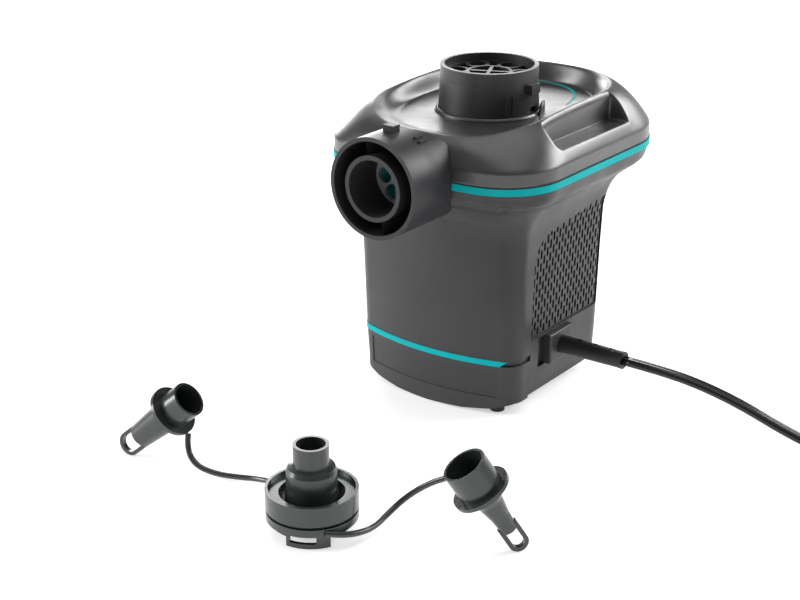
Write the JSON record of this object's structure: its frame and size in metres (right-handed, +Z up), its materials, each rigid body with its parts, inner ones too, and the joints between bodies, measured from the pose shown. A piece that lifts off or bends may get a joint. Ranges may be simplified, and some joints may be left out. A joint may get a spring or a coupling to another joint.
{
  "type": "electric air mattress pump",
  "caption": "Mains pump for air mattresses: upright plastic case with a top port, a side port, a plugged cord, and a tethered nozzle set lying in front.",
  "frame": {"origin": "on the floor, under the axis of the deflate port (centre pad of the base)", "axes": "+Z up along the deflate port, -Y out of the inflate port, +X out of the side that the cord leaves"},
  "size_m": [0.3111, 0.2869, 0.1413],
  "materials": {
    "charcoal_plastic": "fine moulded texture",
    "cover_plastic": "fine moulded texture",
    "teal_trim": "satin",
    "nozzle_plastic": "semi-gloss moulded",
    "pale_guard": "satin",
    "teal_impeller": "satin",
    "black_rubber": "matte",
    "cord_sheath": "glossy",
    "black_plastic": "satin",
    "steel": "bright",
    "motor_steel": "laminated",
    "copper": "enamelled wire",
    "brass": "bright",
    "carbon": "matte",
    "white_plastic": "satin",
    "capacitor_film": "satin"
  },
  "bodies": {
    "pump": {"housing": "charcoal_plastic", "base_cap": "charcoal_plastic", "base_strip": "teal_trim", "base_plate": "charcoal_plastic", "corner_feet": "black_rubber", "centre_pad": "black_rubber", "top_cover": "cover_plastic", "trim_band": "teal_trim", "grille_right": "charcoal_plastic", "grille_left": "charcoal_plastic", "cover_screws": "steel", "deflate_port": "charcoal_plastic", "deflate_guard": "charcoal_plastic", "inflate_port": "charcoal_plastic", "outlet_guard": "pale_guard", "volute_lower": "black_plastic", "volute_upper": "black_plastic", "stator_core": "motor_steel", "field_coils": "copper", "lower_bracket": "black_plastic", "upper_bracket": "black_plastic", "bearings": "brass", "brush_holders": "brass", "carbon_brushes": "carbon", "brush_springs": "steel", "motor_grommets": "black_rubber", "motor_screws": "steel", "switch_frame": "black_plastic", "switch_terminals": "brass", "cord_entry": "charcoal_plastic", "strain_relief": "black_rubber", "terminal_block": "white_plastic", "capacitor": "capacitor_film", "internal_leads": "black_plastic", "power_cord": "cord_sheath", "cord_coil": "cord_sheath", "plug_body": "cord_sheath", "plug_blades": "brass"},
    "rotor": {"impeller": "teal_impeller", "impeller_nut": "steel", "motor_shaft": "steel", "armature_core": "motor_steel", "armature_winding": "copper", "commutator": "brass"},
    "rocker": {"switch_rocker": "black_plastic"},
    "nozzle_set": {"nozzle_adapter": "nozzle_plastic", "tether_ring": "nozzle_plastic", "wide_nozzle": "nozzle_plastic", "narrow_nozzle": "nozzle_plastic", "left_tether": "nozzle_plastic", "right_tether": "nozzle_plastic"}
  },
  "joints": [
    {"name": "impeller_spin", "type": "hinge", "parent": "pump", "child": "rotor", "pos_m": [0, 0, 0.05], "axis": [0, 0, 1], "continuous": true},
    {"name": "switch_rock", "type": "hinge", "parent": "pump", "child": "rocker", "pos_m": [0, 0.0365, 0.061], "axis": [1, 0, 0], "range_deg": [0, 14]},
    {"name": "nozzle_lift", "type": "slide", "parent": "pump", "child": "nozzle_set", "axis": [0, 0, 1], "range_m": [0, 0.08]}
  ]
}
